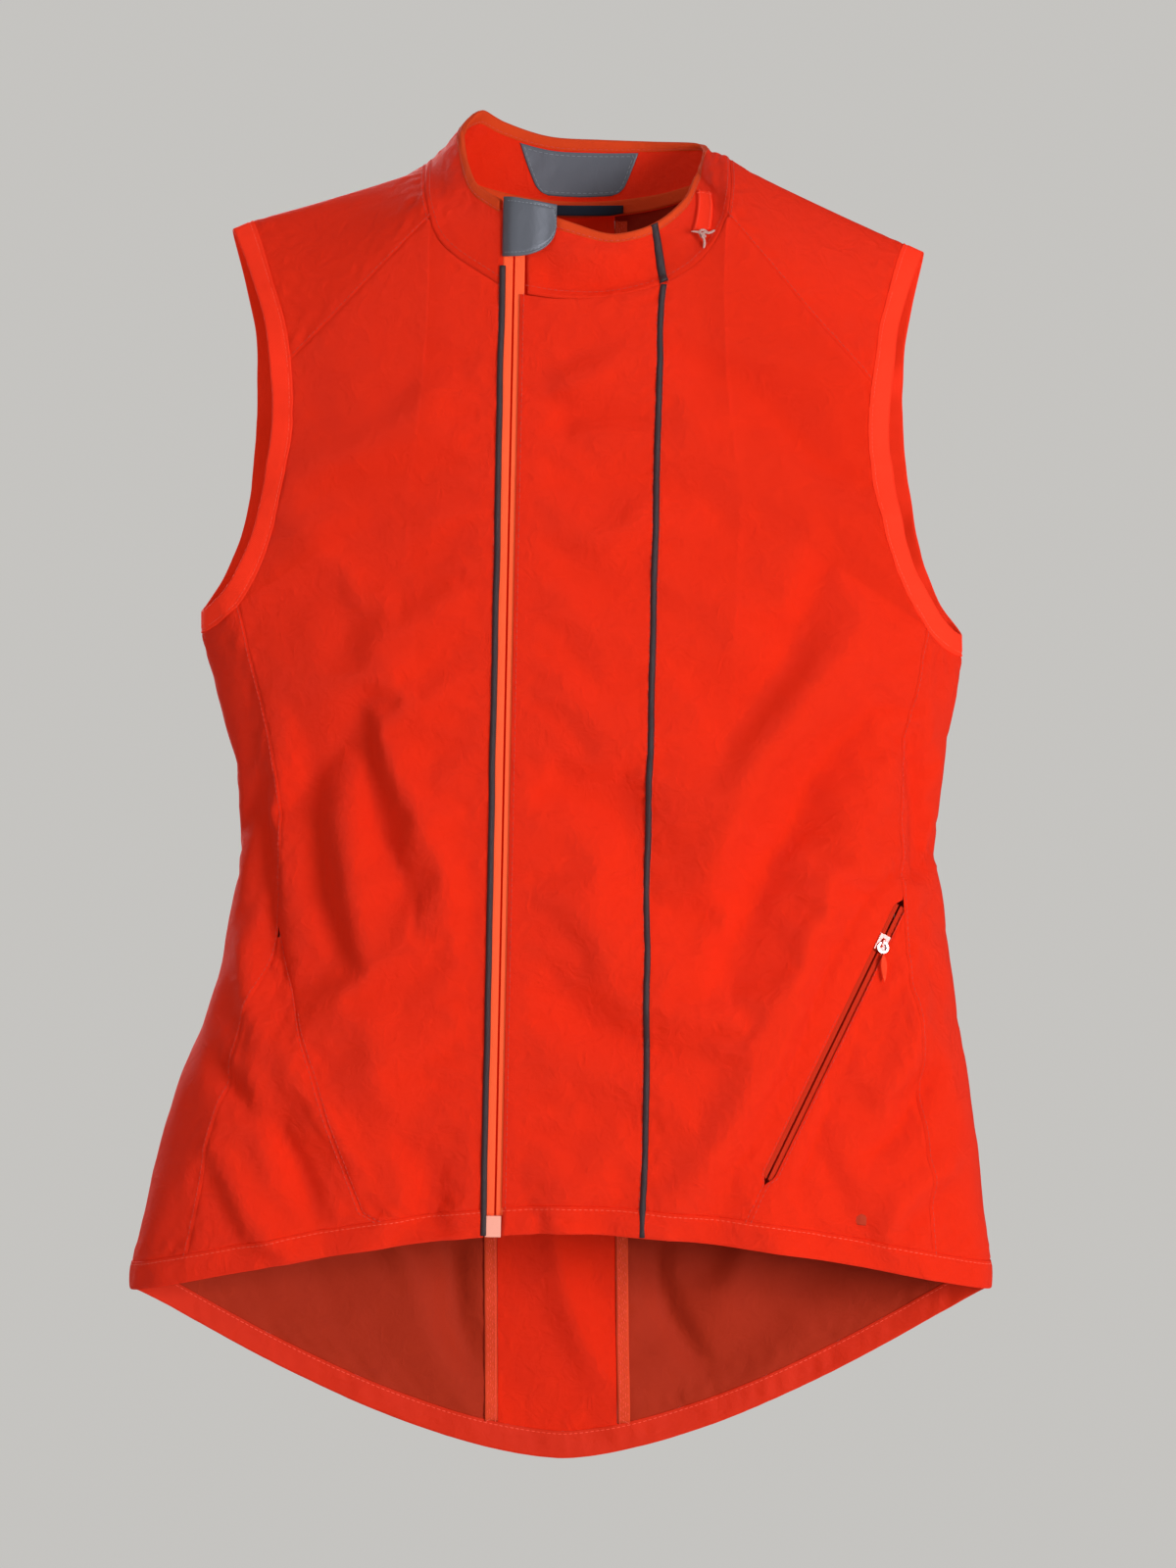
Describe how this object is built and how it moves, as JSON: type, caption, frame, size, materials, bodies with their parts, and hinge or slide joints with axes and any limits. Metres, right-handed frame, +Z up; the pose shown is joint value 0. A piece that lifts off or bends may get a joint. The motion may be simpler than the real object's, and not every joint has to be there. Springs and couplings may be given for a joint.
{
  "type": "cycling gilet",
  "caption": "Sleeveless zip-front cycling gilet in high-visibility orange, with a stand-up collar, reflective piping, a zipped hip pocket and a dropped tail, shaped as it hangs.",
  "frame": {"origin": "middle of the neck opening at the base of the collar's back, over the hanger's neck, which is where the vest hangs", "axes": "+Z up as the vest hangs, -Y out of the front, +X to the right as seen from the front"},
  "size_m": [0.4956, 0.1147, 0.7934],
  "materials": {
    "shell": "light windproof woven nylon, fluorescent orange-red, soft sheen",
    "edge_tape": "knitted seam tape, duller orange",
    "binding": "elastic binding, fluorescent orange",
    "reflective": "grey retroreflective fabric",
    "piping": "dark grey reflective piping",
    "loop_ribbon": "navy woven ribbon",
    "elastic": "pale elastic cord",
    "zip_tape": "woven zip tape, pale orange",
    "zip_teeth": "nylon coil, orange",
    "zip_box": "moulded plastic, pale pink",
    "slider": "die-cast metal, painted orange",
    "ring_metal": "plated steel",
    "pocket_cloth": "thin lining cloth, salmon"
  },
  "bodies": {
    "root": {"front_left_panel": "shell", "front_centre_panel": "shell", "front_right_panel": "shell", "hip_panel_left": "shell", "hip_panel_right": "shell", "side_panel_left": "shell", "side_panel_right": "shell", "yoke_left": "shell", "yoke_right": "shell", "back_centre_panel": "shell", "back_left_panel": "shell", "back_right_panel": "shell", "front_hem_left": "shell", "front_hem_right": "shell", "back_hem": "shell", "collar_main": "shell", "collar_centre": "shell", "collar_lining": "shell", "collar_edge_tape": "edge_tape", "neck_seam_tape": "edge_tape", "reflective_neck_patch": "reflective", "piping_left": "piping", "piping_right": "piping", "piping_collar": "piping", "armhole_binding_left": "binding", "armhole_binding_right": "binding", "zip_tape_left": "zip_tape", "zip_tape_right": "zip_tape", "zip_teeth_left": "zip_teeth", "zip_teeth_right": "zip_teeth", "zip_top_stop_left": "ring_metal", "zip_top_stop_right": "ring_metal", "zip_pin": "zip_box", "zip_box": "zip_box", "pocket_zip_tape": "zip_tape", "pocket_zip_teeth": "zip_teeth", "pocket_bag": "pocket_cloth"},
    "main_slider": {"zip_slider": "slider"},
    "main_puller": {"zip_puller": "slider"},
    "garage_flap": {"zip_garage_flap": "reflective"},
    "pocket_slider_body": {"pocket_slider": "slider"},
    "pocket_pull_body": {"pocket_pull_ring": "ring_metal", "pocket_pull": "binding"},
    "loop": {"hanging_loop": "loop_ribbon"},
    "tab": {"collar_tab": "binding", "elastic_knot": "elastic"}
  },
  "joints": [
    {"name": "main_zip_slide", "type": "slide", "parent": "root", "child": "main_slider", "axis": [-0.0196, -0.0129, -0.9997], "range_m": [0, 0.555]},
    {"name": "main_puller_hinge", "type": "hinge", "parent": "main_slider", "child": "main_puller", "pos_m": [-0.0358, -0.05554, -0.01928], "axis": [-0.9998, 0, 0.0196], "range_deg": [0, 8]},
    {"name": "garage_flap_fold", "type": "hinge", "parent": "root", "child": "garage_flap", "pos_m": [-0.04235, -0.05575, -0.0228], "axis": [-0.0196, -0.0129, -0.9997], "range_deg": [0, 110]},
    {"name": "pocket_zip_slide", "type": "slide", "parent": "root", "child": "pocket_slider_body", "axis": [-0.4429, -0.1282, -0.8873], "range_m": [0, 0.13]},
    {"name": "pocket_pull_hinge", "type": "hinge", "parent": "pocket_slider_body", "child": "pocket_pull_body", "pos_m": [0.17424, -0.038, -0.42977], "axis": [-0.9762, -0.2169, 0], "range_deg": [0, 150]},
    {"name": "hanging_loop_flip", "type": "hinge", "parent": "root", "child": "loop", "pos_m": [-0.00013, 0.0397, 0.00396], "axis": [-0.9999, 0.0052, 0.0107], "range_deg": [0, 85]},
    {"name": "collar_tab_swing", "type": "hinge", "parent": "root", "child": "tab", "pos_m": [0.0724, -0.026, 0.0023], "axis": [-0.8832, 0.4096, 0.2285], "range_deg": [0, 60]}
  ]
}
